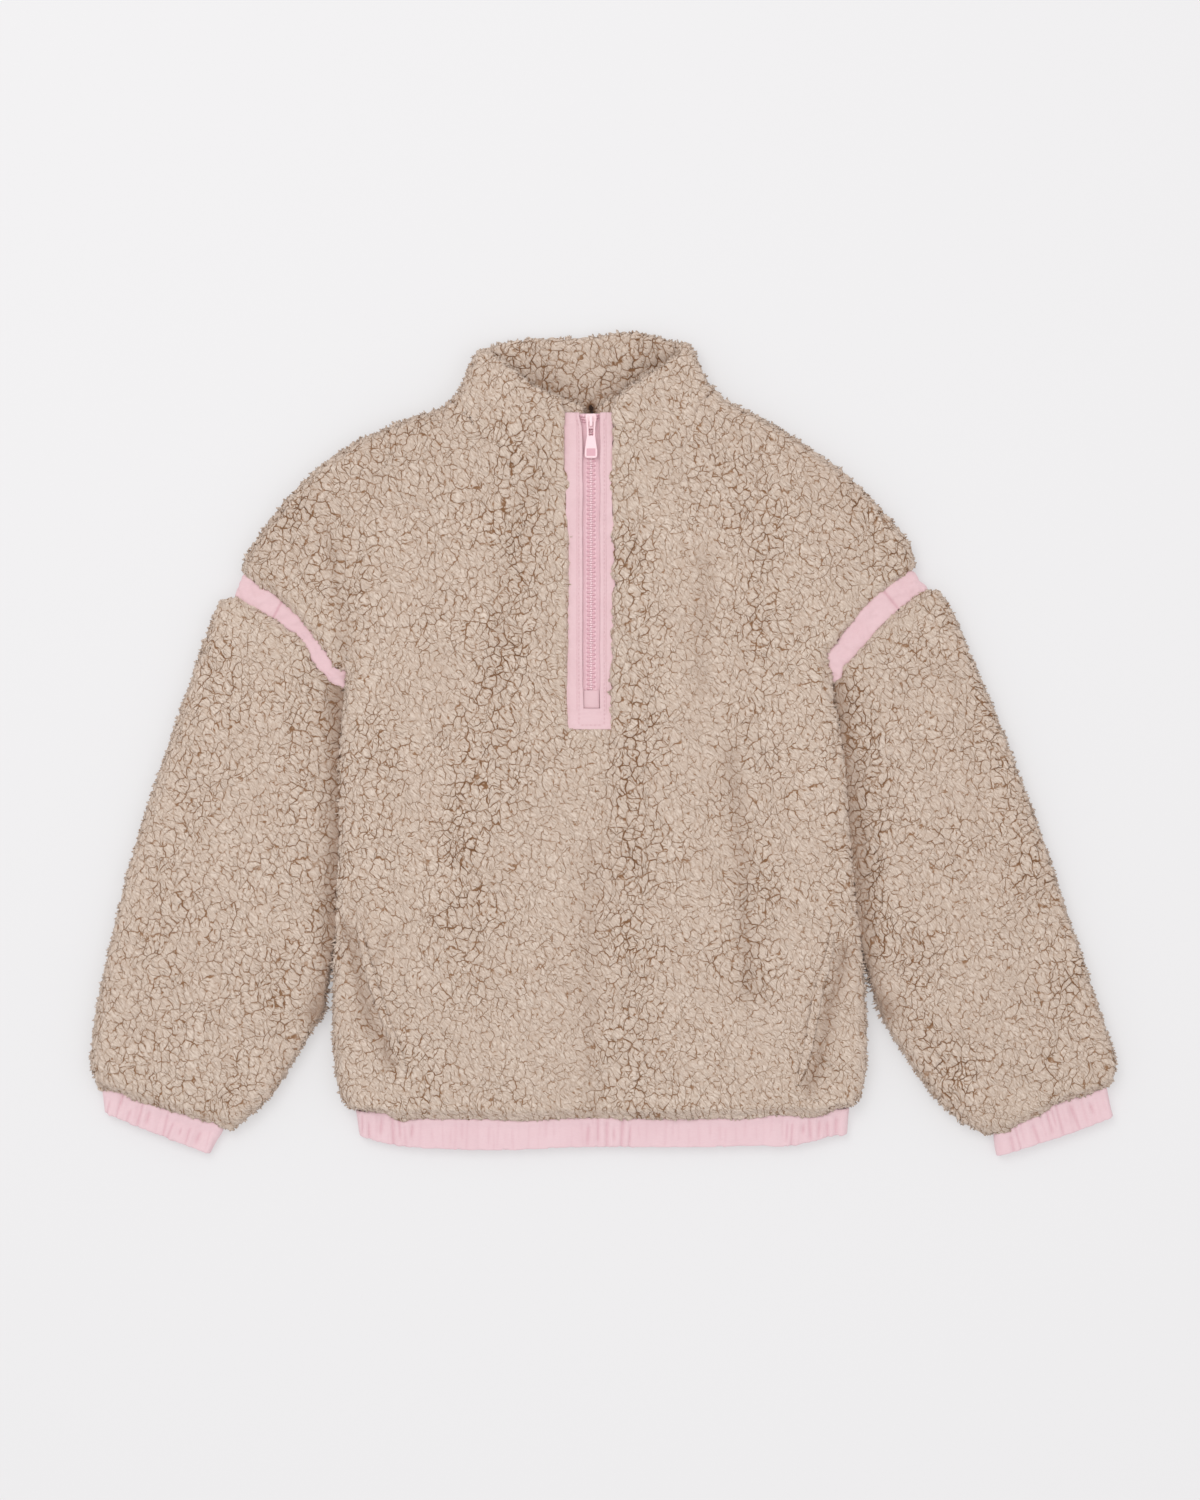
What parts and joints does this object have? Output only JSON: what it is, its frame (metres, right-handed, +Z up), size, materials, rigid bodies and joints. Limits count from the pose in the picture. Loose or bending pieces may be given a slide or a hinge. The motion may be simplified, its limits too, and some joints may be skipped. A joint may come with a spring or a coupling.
{
  "type": "sherpa fleece pullover",
  "caption": "Child's half-zip sherpa pullover laid flat on its back, stand collar open at the front, woven armhole strips, gathered cuffs and hem band.",
  "frame": {"origin": "middle of the laid garment's box, on the surface that it lies on", "axes": "+X across the garment towards the wearer's left sleeve, +Y from the hem towards the collar, +Z up out of the front"},
  "size_m": [0.7382, 0.5913, 0.0255],
  "materials": {
    "sherpa": "curly sherpa pile, matt",
    "woven": "fine plain weave, slight sheen",
    "tape": "knitted zip tape and moulded teeth",
    "painted": "satin paint"
  },
  "bodies": {
    "root": {"front": "sherpa", "back": "sherpa", "collar": "sherpa", "sleeve_left": "sherpa", "sleeve_right": "sherpa", "pocket_left": "sherpa", "pocket_right": "sherpa", "armhole_band_left": "woven", "armhole_band_right": "woven", "cuff_left": "woven", "cuff_right": "woven", "hem_band": "woven", "zip_facing": "woven", "zip_end_patch": "woven", "zip_tape": "tape", "slider": "painted"},
    "pull_tab": {"pull_tab": "painted"}
  },
  "joints": [
    {"name": "pull_tab_hinge", "type": "hinge", "parent": "root", "child": "pull_tab", "pos_m": [-0.0086, 0.2306, 0.0234], "axis": [-1, 0, 0], "range_deg": [0, 165]}
  ]
}
